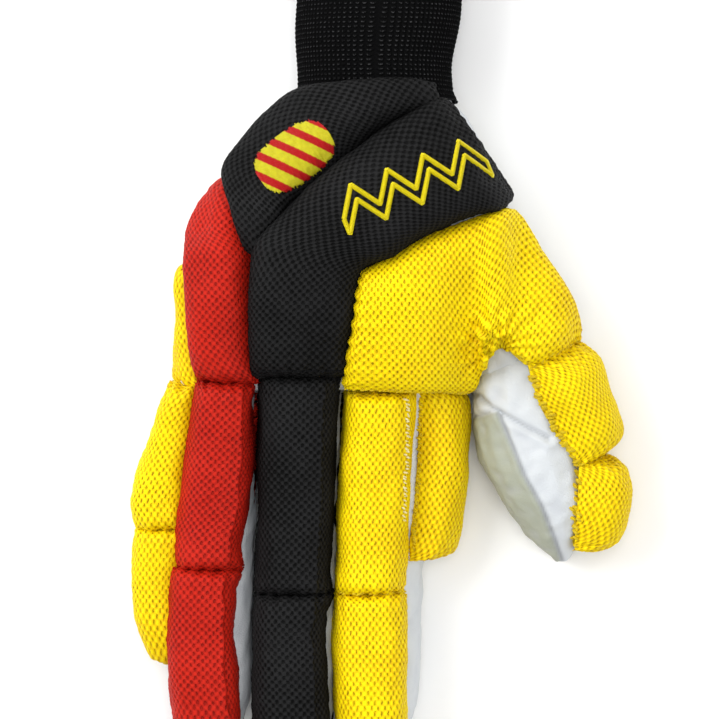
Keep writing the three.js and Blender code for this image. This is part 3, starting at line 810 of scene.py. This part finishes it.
def thread_material(name, light, dark, stripe=None, shine=0.35):
    """Satin stitch: glossy threads side by side, with painted sheen: lighter and darker along the threads'
    twist and from bundle to bundle. The stored third value picks the stripe's colour.
    """
    n = Nodes(name)
    u, v, band = n.stored("weave")
    fuzz = n.noise(3000.0, 3.0)
    # Painted sheen: the twist and the bundles make the threads lighter and darker in colour
    twist = n.math("SINE", n.plus(n.times(u, 9.0), n.times(v, 14.0)))
    bundle = n.noise(620.0, 2.0)
    share = n.plus(fuzz, n.minus(bundle, 0.5))
    share = n.plus(n.times(twist, 0.2), share)
    yarn = n.mix(n.ramp(share, 0.2, 0.8), dark, light)
    if stripe:
        yarn = n.mix(n.ramp(band, 0.4, 0.6), yarn, stripe)
    n.link(yarn, n.shader.inputs["Base Color"])
    relief = n.plus(n.times(twist, 0.3), n.plus(fuzz, bundle))
    n.link(n.bump(relief, 0.0004, 0.8), n.shader.inputs["Normal"])
    n.shader.inputs["Roughness"].default_value = 0.42
    n.shader.inputs["Specular IOR Level"].default_value = shine
    return n.material


# Each mesh: strand colour, darker yarn colour (also painted shade towards the holes), the holes' painted
# shade, slit, and the strength of that painted shade
YELLOW = padded_mesh("yellow_mesh", (0.88, 0.66, 0.001), (0.74, 0.48, 0.001), (0.22, 0.11, 0.001), 1.5, 0.85)
RED = padded_mesh("red_mesh", (0.47, 0.014, 0.005), (0.33, 0.008, 0.003), (0.11, 0.003, 0.002), 1.0, 0.75)
BLACK = padded_mesh("black_mesh", (0.015, 0.015, 0.0155), (0.006, 0.006, 0.006), (0.001, 0.001, 0.001),
                    0.35, 0.95, shine=0.045)
WHITE = leather_material()
KNIT = knit_material()
# Each thread: the lighter and the darker colour between which its painted sheen runs
YELLOW_THREAD = thread_material("yellow_thread", (1.0, 0.86, 0.006), (0.88, 0.70, 0.004))
PATCH_THREAD = thread_material("patch_thread", (0.84, 0.78, 0.030), (0.66, 0.58, 0.014),
                               stripe=(0.58, 0.008, 0.010))
SEAM_THREAD = thread_material("seam_thread", (0.86, 0.66, 0.01), (0.58, 0.38, 0.005))
PALE_THREAD = thread_material("pale_thread", (0.95, 0.90, 0.62), (0.85, 0.72, 0.25))
DARK_THREAD = thread_material("dark_thread", (0.014, 0.014, 0.015), (0.006, 0.006, 0.006), shine=0.02)


# Leather
def remeshed(node):
    """A copy of the node's own hollow form, as an even and smoothed mesh."""
    name = node.replace("sleeve", "leather").replace("shell", "leather")
    obj = bpy.data.objects.new(name, frame["nodes"][node].data.copy())
    bpy.context.scene.collection.objects.link(obj)
    remesh = obj.modifiers.new("remesh", "REMESH")
    remesh.mode = "VOXEL"
    remesh.voxel_size = (THUMB_VOXEL if node == "thumb_sleeve" else LEATHER_VOXEL) * MM
    smooth = obj.modifiers.new("smooth", "SMOOTH")
    smooth.factor = 0.5
    smooth.iterations = 22
    graph = bpy.context.evaluated_depsgraph_get()
    mesh = bpy.data.meshes.new_from_object(obj.evaluated_get(graph))
    obj.modifiers.clear()
    obj.data = mesh
    return obj


def vectors(mesh, kind):
    """The points or the normals of a mesh."""
    values = np.empty(len(mesh.vertices) * 3)
    mesh.vertices.foreach_get(kind, values)
    return values.reshape(-1, 3)


def line_distance(points, corners):
    """Distance in the plan from points to a bent line."""
    nearest = np.full(len(points), 1e9)
    for p, q in zip(np.array(corners)[:-1], np.array(corners)[1:]):
        step = q - p
        t = np.clip((points[:, :2] - p) @ step / (step @ step), 0, 1)
        nearest = np.minimum(nearest, np.linalg.norm(points[:, :2] - p - t[:, None] * step, axis=1))
    return nearest


def thumb_marks(points, move):
    """The thumb's beige side, and its seam and folds: pressed in, and returned as the seam's dark line and
    painted shade along the folds.
    """
    x, y, z = points.T
    edge = np.interp(-y, EDGE_DOWN, EDGE_X)
    fold_x, fold_y = SHORT_FOLD[-1]
    below = np.clip((fold_y + (x - fold_x) / 3 - y) / 0.8, 0, 1)
    beige = np.clip((edge - x) / 0.8, 0, 1) * below
    dark = bell(x - edge, 0.7) * (z > EDGE_ABOVE) * below
    move += -0.55 * dark + 0.3 * bell(edge - x - 1.6, 1.1) * (z > EDGE_ABOVE)
    for fold, deep in FOLD_DEPTHS:
        far = line_distance(points, fold)
        top = z > FOLDS_ABOVE
        move += (-deep * bell(far, 0.8) + deep * 0.5 * bell(far - 2, 1.3)) * top
        # Painted shade: the folds are returned as dark lines
        dark = np.maximum(dark, 0.6 * bell(far, 0.4) * top)
    return beige, dark


def lap(node, points):
    """The pieces lap over each other at their seams, and the wrist is drawn in under the cuff."""
    if node == "hand_shell":
        radial = points * [1, 0, 1] - [WRIST_AXIS[0], 0, WRIST_AXIS[1]]
        near = np.clip((points[:, 1] - WRIST_SEAM + 6) / 2.5, 0, 1)
        points -= unit(radial) * (WRIST_TUCK * near)[:, None]
        points[:, 1] -= SEAM_LAP * (points[:, 1] < KNUCKLE_SEAM + 1.5) * (points[:, 0] < HAND_LAP_END)
    elif node == "thumb_sleeve":
        seam = THUMB_SEAM[1] + (points[:, 0] - THUMB_SEAM[0]) * THUMB_SEAM[2]
        points[:, 1] += FINGER_LAP * (points[:, 1] > seam - 1.5)
    else:
        points[:, 1] += FINGER_LAP * (points[:, 1] > KNUCKLE_SEAM - 1.5)


def leather(node):
    """A leather piece, creased and toned, with painted shade stored for its creases and the thumb's folds."""
    obj = remeshed(node)
    mesh = obj.data
    points = vectors(mesh, "co") / MM - SHIFT
    normals = vectors(mesh, "normal")
    wrinkle = waves(points * [1.0, 0.55, 0.9], 7.0, seed=11) * 0.16
    wrinkle += waves(points * [0.5, 1.3, 0.9], 4.2, seed=12) * 0.10
    broad = waves(points, 19.0, seed=13) * 0.25
    off_floor = np.clip(points[:, 2] / 2.5, 0, 1)
    move = (wrinkle + broad) * (0.25 + 0.75 * off_floor)
    tone_and_shade = np.zeros(points.shape)
    palm_top, palm_fade = (12.0, 4.0) if node == "hand_shell" else (5.0, 3.0)
    tone_and_shade[:, 0] = np.clip((palm_top - points[:, 2]) / palm_fade, 0, 1)
    if node == "thumb_sleeve":
        beige, tone_and_shade[:, 1] = thumb_marks(points, move)
        tone_and_shade[:, 0] = np.maximum(tone_and_shade[:, 0], beige)
    # Painted shade: the wrinkles' hollows are coloured darker
    tone_and_shade[:, 2] = np.clip(-wrinkle * 3.0, 0, 1)
    # The palm stays on the floor: creases there only press inward
    move = np.where(points[:, 2] < 0.6, -np.abs(move) * 0.8, move)
    points += normals * move[:, None]
    lap(node, points)
    points[:, 2] = np.maximum(points[:, 2], 0.0)
    mesh.vertices.foreach_set("co", ((points + SHIFT) * MM).ravel())
    mesh.polygons.foreach_set("use_smooth", [True] * len(mesh.polygons))
    mesh.update()
    mesh.materials.clear()
    mesh.materials.append(WHITE)
    store(obj, "tone_and_shade", tone_and_shade)
    return settle(obj, "leather", node)


for node in LEATHER_NODES:
    leather(node)


# Every pad
def thumb_gathers(points):
    """Puckers that fan out of the crotch between the index and the thumb."""
    dx, dy = points[:, 0] - GATHERS[0], points[:, 1] - GATHERS[1]
    far = np.hypot(dx, dy)
    turn = np.arctan2(dy, dx)
    wave = np.sin(turn * GATHER_COUNT + waves(points, 12, seed=31) * 1.2)
    return (1.6 * wave + 0.9 * waves(points, 3.5, seed=32)) * bell(far, GATHER_REACH)


UP, THUMBWARD, OUTWARD = (0, 0, 1), (1, 0, 0.3), (-1, 0, 0.3)
pad("upper_back_pad", on_back(UPPER_BACK_PAD), UP, BLACK, pucker=0.25, upright=True)
pad("cross_pad", on_back(CROSS_PAD), UP, BLACK, pucker=0.3, upright=True, reach=2.8)
pad("ring_back_pad", on_back(RING_BACK_PAD), UP, RED, pucker=0.4, upright=True)
pad("index_back_pad", on_back(INDEX_BACK_PAD), UP, YELLOW, gathers=thumb_gathers, upright=True,
    sideways=True)
pad("little_back_pad", LITTLE_BACK_PAD, OUTWARD, YELLOW)
pad("index_side_pad", INDEX_SIDE_PAD, THUMBWARD, YELLOW)
pad("thumb_pad_1", THUMB_PAD_1, THUMBWARD, YELLOW)
pad("thumb_pad_2", THUMB_PAD_2, THUMBWARD, YELLOW)
FINGER_MATERIALS = {"index": YELLOW, "middle": BLACK, "ring": RED, "little": YELLOW}
for node, (sleeve, rows) in FINGER_PADS.items():
    finger = node.split("_")[0]
    thick = LITTLE_PAD_THICK if finger == "little" else FINGER_PAD_THICK
    pad(node, on_finger(sleeve, rows, thick), UP, FINGER_MATERIALS[finger],
        fold_side=finger in ("ring", "middle"))


# Knitted cuff
def knit_ring(rows, y, grow, loop):
    """A ring of points round the cuff: grow is 0 on its outside and below 0 towards its inside."""
    r = at_y(rows, y)[0]
    flare = CUFF_FLARE * max((WRIST_SEAM - y) / CUFF_LAP, 0)
    middle, half = (r[1] + r[2]) / 2, (r[2] - r[1]) / 2 + grow + flare
    low, high = -min(grow, 0), r[3] + grow + flare
    belt = low + (high - low) * BELT
    count = COLUMNS * STITCH
    angle = 2 * math.pi * np.arange(count) / count
    sine, cosine = np.sin(angle), np.cos(angle)
    up = sine > 0
    x = middle + half * np.sign(cosine) * np.abs(cosine) ** np.where(up, BACK_ROUND, PALM_ROUND)
    arch = belt + (high - belt) * np.abs(sine) ** BACK_ROUND
    palm = belt - (belt - low) * np.minimum(1.06 * np.abs(sine) ** PALM_ROUND, 1)
    plan = np.column_stack([x, np.where(up, arch, palm)])
    rib = np.abs(np.sin(math.pi * np.arange(count) / STITCH))
    if grow == 0.0:
        depth = 0.42 * rib + 0.10 * math.cos(2 * math.pi * loop) * rib + 0.35 * math.sin(y * 0.22)
    else:
        depth = 0.2 * rib
    plan += unit(plan - [middle, belt]) * (depth - 0.35)[:, None]
    return np.column_stack([plan[:, 0], np.full(count, y), np.maximum(plan[:, 1], 0.0)])


def cuff():
    """Ribbed tube: each column of stitches is a raised rib, and each row dips where the loops meet."""
    rows = CUFF + [0, 0.3, -0.3, 0, 0]
    start = WRIST_SEAM - CUFF_LAP
    steps = int((CUFF_END - WRIST_SEAM) / (ROW / 3))
    skin = [(start + (CUFF_END - 0.3 - start) * i / steps, 0.0, i) for i in range(steps + 1)]
    lip = [(CUFF_END, -0.4, steps), (CUFF_END + 0.1, -WALL / 2, steps), (CUFF_END, -WALL + 0.4, steps)]
    inner = [(CUFF_END - 0.3 - k * (CUFF_END - WRIST_SEAM - 0.8) / 14, -WALL, steps) for k in range(15)]
    base = [(WRIST_SEAM + 0.3, -WALL + 0.4, 0), (start, -0.6, 0)]
    points, weave = [], []
    count = COLUMNS * STITCH
    for y, grow, step in skin + lip + inner + base:
        points.append(knit_ring(rows, y, grow, step / 3))
        weave.append(np.column_stack([np.arange(count) / STITCH, np.full(count, step / 3), np.zeros(count)]))
    faces = tube(len(points), count, joined=True)
    obj = mesh_object("wrist_knit", np.concatenate(points) + SHIFT, faces)
    face_outward(obj)
    store(obj, "weave", np.concatenate(weave))
    obj.data.materials.append(KNIT)
    return settle(obj, "cuff_knit", "wrist_cuff")


cuff()


# Embroidery: threads laid side by side on the pad below them
def height_on(tree, x, y):
    """Height of the highest surface above a point of the drawing's plan."""
    hit = tree.ray_cast(Vector((x + SHIFT[0], y + SHIFT[1], 90.0)), Vector((0, 0, -1)))
    return hit[0].z if hit[0] is not None else None


def turned(points, centre):
    """Points of a flat shape, turned and moved to its place in the plan."""
    c, s = math.cos(centre["turn"]), math.sin(centre["turn"])
    return np.array(points) @ np.array([[c, s], [-s, c]]) + [centre["x"], centre["y"]]


def satin(name, node, path, half, tree, material, lift=0.9):
    """A line of satin stitch: threads laid across a path in the plan."""
    path = np.array(path)
    route = sample(path, even(path, THREAD / 3))
    tangent = unit(np.gradient(route, axis=0))
    side = np.column_stack([-tangent[:, 1], tangent[:, 0]])
    profile = [(-1.0, -0.5), (-0.9, 0.25), (-0.5, 0.8), (0.0, 1.0), (0.5, 0.8), (0.9, 0.25), (1.0, -0.5)]
    points, weave = [], []
    level = np.array([height_on(tree, *p) or 0 for p in route])
    level = np.convolve(np.pad(level, 6, "edge"), np.ones(13) / 13, "valid")
    for i, p in enumerate(route):
        thread = 0.24 * math.cos(2 * math.pi * i / 3)
        for across, up in profile:
            x, y = p + side[i] * across * half
            points.append((x, y, level[i] + up * (lift + thread * (up > 0))))
            weave.append((across, i / 3, 0.0))
    obj = mesh_object(name, np.array(points) + SHIFT, tube(len(route), len(profile)))
    face_outward(obj)
    store(obj, "weave", np.array(weave))
    obj.data.materials.append(material)
    return settle(obj, slot_of(material), node)


def motif():
    """A zigzag band drawn by its outline: out along one edge, round the end and back along the other."""
    tree = tree_of(bpy.data.objects["cross_padding"].data)
    corner_count = MOTIF["peaks"] * 2 + 1
    middle = [(i * MOTIF["step"] * 0.5, (i % 2) * MOTIF["rise"]) for i in range(corner_count)]
    corners = [(x, y + MOTIF["line"]) for x, y in middle]
    corners += [(x, y - MOTIF["line"]) for x, y in reversed(middle)]
    corners.append(corners[0])
    dense = []
    for p, q in zip(corners, corners[1:]):
        dense += [(p[0] + (q[0] - p[0]) * t, p[1] + (q[1] - p[1]) * t) for t in np.linspace(0, 1, 14)[:-1]]
    dense.append(corners[-1])
    satin("zigzag_outline", "embroidered_motif", turned(dense, MOTIF), 0.8, tree, YELLOW_THREAD)


def sheet(keep):
    """Faces of a thick sheet over the kept cells of a grid: its top, its underside and its edges."""
    rows, cols = keep.shape[0] + 1, keep.shape[1] + 1
    below = rows * cols
    faces = []
    for i, j in np.argwhere(keep).tolist():
        ring = (i * cols + j, (i + 1) * cols + j, (i + 1) * cols + j + 1, i * cols + j + 1)
        faces.append(ring)
        faces.append(tuple(below + r for r in reversed(ring)))
        for di, dj, p, q in ((-1, 0, 0, 3), (1, 0, 1, 2), (0, -1, 0, 1), (0, 1, 3, 2)):
            ni, nj = i + di, j + dj
            if not (0 <= ni < rows - 1 and 0 <= nj < cols - 1 and keep[ni, nj]):
                faces.append((ring[p], ring[q], below + ring[q], below + ring[p]))
    return faces


def patch():
    """Satin patch with a rounded outline and slanting stripes in red."""
    tree = tree_of(bpy.data.objects["upper_back_padding"].data)
    long, wide = PATCH["long"], PATCH["wide"]
    xs = np.arange(-long, long + 0.01, THREAD / 3)
    ys = np.arange(-wide, wide + 0.01, THREAD)
    ragged = np.random.default_rng(5).uniform(-0.45, 0.45, len(xs))
    ragged = np.repeat(ragged[::3], 3)[: len(xs)]
    tuft = np.random.default_rng(6).normal(0, 1, len(xs))
    points, weave, inside = [], [], np.zeros((len(xs), len(ys)), bool)
    plan = turned([(x, y) for x in xs for y in ys], PATCH)
    for i, x in enumerate(xs):
        round_off = max(1 - abs(x / long) ** (2 / PATCH["square"]), 0) ** (PATCH["square"] / 2)
        reach = wide * round_off + ragged[i]
        for j, y in enumerate(ys):
            px, py = plan[i * len(ys) + j]
            level = height_on(tree, px, py)
            inside[i, j] = abs(y) <= reach and level is not None
            crown = PATCH["crown"] * math.sqrt(max(1 - (abs(y) / max(reach, 0.1)) ** 4, 0))
            lift = 0.25 + crown + 0.2 * math.cos(2 * math.pi * i / 3) + 0.12 * tuft[i // 3]
            points.append((px, py, (level or 0) + lift))
            place = (x + STRIPES["slant"] * y) % STRIPES["step"]
            weave.append((y, i / 3, float(place < STRIPES["wide"])))
    top = np.array(points)
    every = np.concatenate([top, top - [0, 0, PATCH["thick"]]])
    every_weave = np.concatenate([weave, weave])
    faces = sheet(inside[:-1, :-1] & inside[1:, :-1] & inside[:-1, 1:] & inside[1:, 1:])
    used = sorted({v for f in faces for v in f})
    renumber = {v: k for k, v in enumerate(used)}
    faces = [tuple(renumber[v] for v in f) for f in faces]
    obj = mesh_object("stripe_patch", every[used] + SHIFT, faces)
    face_outward(obj)
    store(obj, "weave", every_weave[used])
    obj.data.materials.append(PATCH_THREAD)
    settle(obj, "patch_thread", "embroidered_patch")


motif()
patch()


# Seams: short stitches laid along a line, on whatever lies below them
def in_plan(*pixels):
    """Points of the plan from pixels of the photo."""
    return np.array([((x - PHOTO_ORIGIN[0]) * PIXEL, (PHOTO_ORIGIN[1] - y) * PIXEL) for x, y in pixels])


def rod(long, thick):
    """A small rounded rod, as rings of points."""
    shape = []
    for k in range(ROD_RINGS):
        t = math.pi * k / (ROD_RINGS - 1)
        for side in range(ROD_SIDES):
            turn = 2 * math.pi * side / ROD_SIDES
            wide = math.sin(t) * thick
            shape.append((-math.cos(t) * long, wide * math.cos(turn), wide * math.sin(turn)))
    return np.array(shape)


def knots(name, slot, material, path, spacing, long, thick, slant, lift=0.1, scatter=0.2):
    """Stitches as small rounded rods, each turned by slant from the seam's direction."""
    dense = between(path, np.linspace(0, len(path) - 1, 200))
    route = sample(dense, even(dense, spacing))
    tangent = unit(np.gradient(route, axis=0))
    shape = rod(long, thick)
    rod_faces = tube(ROD_RINGS, ROD_SIDES, caps=False)
    points, faces = [], []
    for place, along in zip(route, tangent):
        place = place + RANDOM.normal(0, scatter, 2)
        level = height_on(SURFACE, *place)
        if level is None:
            continue
        turn = math.atan2(along[1], along[0]) + slant + RANDOM.normal(0, 0.25)
        size = RANDOM.uniform(0.8, 1.15)
        c, s = math.cos(turn), math.sin(turn)
        base = len(points)
        for x, y, z in shape * size:
            points.append((place[0] + x * c - y * s, place[1] + x * s + y * c, level + lift + z))
        faces += [tuple(base + v for v in face) for face in rod_faces]
    obj = mesh_object(name, np.array(points) + SHIFT, faces)
    store(obj, "weave", np.array(points))
    obj.data.materials.append(material)
    return settle(obj, slot)


DRESSED = [o for o in bpy.context.scene.objects if "_padding" in o.name or o.name.endswith("_leather")]
SURFACE = tree_of(*[o.data for o in DRESSED])
KNUCKLE_LINE = in_plan((346, 389), (380, 390), (412, 391), (440, 392), (470, 393))
INDEX_LINE = in_plan((341, 594), (372, 595), (405, 594))
THUMB_LINE = in_plan((531, 369), (548, 358), (568, 347), (583, 340))
THUMB_TIP_LINE = in_plan((581, 465), (600, 461), (624, 452))
THUMB_EDGE = in_plan((531, 375), (541, 398), (554, 424), (568, 447), (579, 464))
THUMB_TIP_EDGE = in_plan((580, 472), (579, 500), (578, 530), (578, 548))
SLIT_LEFT = in_plan((407, 400), (407, 440), (405, 480), (404, 520))
SLIT_RIGHT = in_plan((420, 402), (420, 440), (419, 480), (416, 520), (414, 550))
BLACK_LINE = in_plan((262, 371), (290, 371), (320, 371), (342, 371))
SEAMS = {"knuckle": KNUCKLE_LINE, "index": INDEX_LINE, "thumb": THUMB_LINE, "tip": THUMB_TIP_LINE}
for name, path in SEAMS.items():
    knots(f"{name}_seam", "yellow_mesh", SEAM_THREAD, path, spacing=1.3, long=0.75, thick=0.42, slant=0.5)
for name, path in (("thumb", THUMB_EDGE), ("tip", THUMB_TIP_EDGE)):
    knots(f"{name}_edge", "yellow_mesh", SEAM_THREAD, path, spacing=0.8, long=1.2, thick=0.6, slant=1.1,
          lift=0.3, scatter=0.55)
knots("slit_stitches", "yellow_mesh", PALE_THREAD, SLIT_LEFT, spacing=1.1, long=0.95, thick=0.32, slant=1.2)
knots("slit_edge", "yellow_mesh", SEAM_THREAD, SLIT_RIGHT, spacing=1.1, long=0.8, thick=0.4, slant=1.0)
knots("black_seam", "black_mesh", DARK_THREAD, BLACK_LINE, spacing=1.1, long=0.8, thick=0.4, slant=0.3,
      scatter=0.05)


# Room: a pale floor and soft lights
def camera():
    """Looks straight down, so that the photo's width at the pads' height fills the picture."""
    x = (PHOTO / 2 - PHOTO_ORIGIN[0]) * PIXEL
    y = (PHOTO_ORIGIN[1] - PHOTO / 2) * PIXEL
    data = bpy.data.cameras.new("camera")
    data.sensor_width = 36.0
    data.lens = data.sensor_width * (CAMERA_HIGH - PAD_HEIGHT) / (PHOTO * PIXEL)
    obj = bpy.data.objects.new("camera", data)
    obj.location = Vector((x + SHIFT[0], y + SHIFT[1], CAMERA_HIGH)) * MM
    bpy.context.scene.collection.objects.link(obj)
    bpy.context.scene.camera = obj


def ground():
    """A pale floor, wide enough to fill every view."""
    n = Nodes("floor")
    colour = (0.93, 0.93, 0.93)
    speck = n.noise(60.0, 2.0)
    n.link(n.mix(speck, colour, tuple(c * 0.99 for c in colour)), n.shader.inputs["Base Color"])
    n.shader.inputs["Roughness"].default_value = 0.8
    corners = np.array([(-1, -1, 0), (1, -1, 0), (1, 1, 0), (-1, 1, 0)]) * FLOOR_HALF
    floor = mesh_object("floor", corners, [(0, 1, 2, 3)], smooth=False)
    floor.data.materials.append(n.material)


def lamp(name, place, size, power):
    """A square soft light that faces the glove."""
    light = bpy.data.lights.new(name, "AREA")
    light.size = size
    light.energy = power
    obj = bpy.data.objects.new(name, light)
    obj.location = place
    obj.rotation_euler = (-Vector(place)).to_track_quat("-Z", "Y").to_euler()
    bpy.context.scene.collection.objects.link(obj)


camera()
ground()
lamp("key", (-0.9, 0.5, 0.95), 0.8, 15.5)
lamp("top", (0.05, 0.05, 1.25), 0.5, 4.6)
lamp("fill", (0.9, -0.3, 0.9), 1.0, 4.5)
lamp("rim", (0.1, 1.2, 0.5), 0.6, 3.5)
world = bpy.data.worlds.new("world")
world.use_nodes = True
world.node_tree.nodes["Background"].inputs[0].default_value = (1, 1, 1, 1)
world.node_tree.nodes["Background"].inputs[1].default_value = 0.55
bpy.context.scene.world = world
bpy.context.scene.view_settings.view_transform = "Standard"
